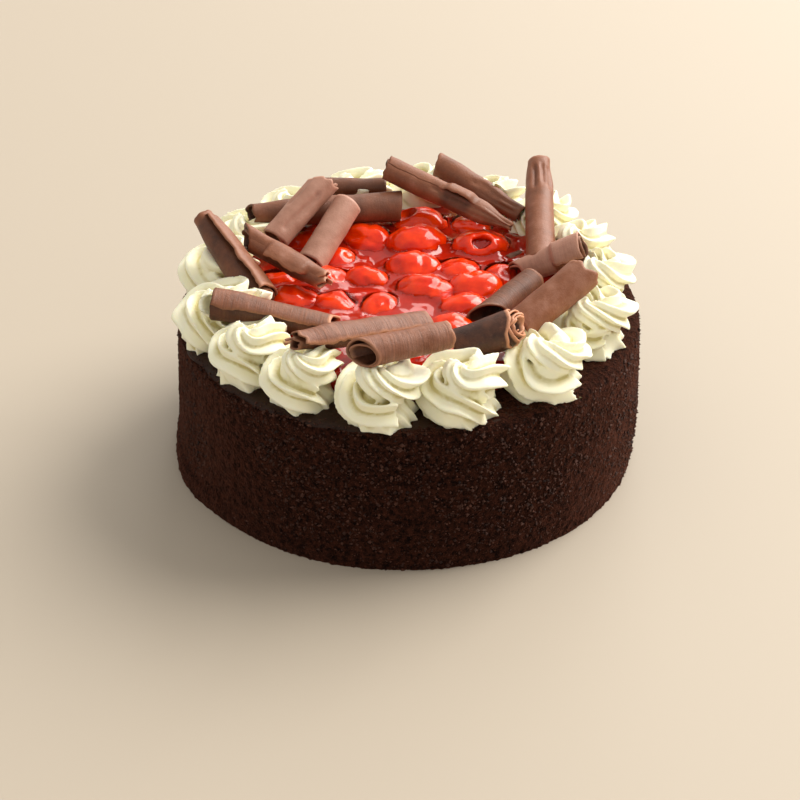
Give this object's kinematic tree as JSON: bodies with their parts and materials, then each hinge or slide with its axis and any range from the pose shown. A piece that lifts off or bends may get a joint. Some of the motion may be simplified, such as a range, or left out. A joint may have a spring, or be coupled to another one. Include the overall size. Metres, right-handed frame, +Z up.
{
  "type": "black forest cake",
  "caption": "Round black forest cake: crumb-coated chocolate sponge with a ring of piped cream rosettes, a pool of glazed cherries and rolled chocolate curls on top.",
  "frame": {"origin": "middle of the cake's flat underside", "axes": "+Z up; -Y is the front that the reference view shows, +X its right"},
  "size_m": [0.2, 0.2, 0.1042],
  "materials": {
    "crumb": "dark chocolate cake crumb, matt and coarse, smooth and faintly glossy on the top face",
    "cream": "whipped cream, soft satin",
    "cherry": "glazed cherry, wet gloss, slightly translucent",
    "jelly": "clear red jelly over dark cake, wet gloss",
    "curl": "milk chocolate, low sheen, finely streaked along the roll"
  },
  "bodies": {
    "root": {"cake_body": "crumb", "jelly": "jelly", "rosette_01": "cream", "rosette_02": "cream", "rosette_03": "cream", "rosette_04": "cream", "rosette_05": "cream", "rosette_06": "cream", "rosette_07": "cream", "rosette_08": "cream", "rosette_09": "cream", "rosette_10": "cream", "rosette_11": "cream", "rosette_12": "cream", "rosette_13": "cream", "rosette_14": "cream", "rosette_15": "cream", "rosette_16": "cream", "cherry_01": "cherry", "cherry_02": "cherry", "cherry_03": "cherry", "cherry_04": "cherry", "cherry_05": "cherry", "cherry_06": "cherry", "cherry_07": "cherry", "cherry_08": "cherry", "cherry_09": "cherry", "cherry_10": "cherry", "cherry_11": "cherry", "cherry_12": "cherry", "cherry_13": "cherry", "cherry_14": "cherry", "cherry_15": "cherry", "cherry_16": "cherry", "cherry_17": "cherry", "cherry_18": "cherry", "cherry_19": "cherry", "cherry_20": "cherry", "cherry_21": "cherry", "cherry_22": "cherry", "cherry_23": "cherry", "cherry_24": "cherry", "curl_01": "curl", "curl_02": "curl", "curl_03": "curl", "curl_04": "curl", "curl_05": "curl", "curl_06": "curl", "curl_07": "curl", "curl_08": "curl", "curl_09": "curl", "curl_10": "curl", "curl_11": "curl", "curl_12": "curl", "curl_13": "curl", "curl_14": "curl", "curl_15": "curl", "curl_16": "curl", "curl_chip": "curl"}
  },
  "joints": []
}
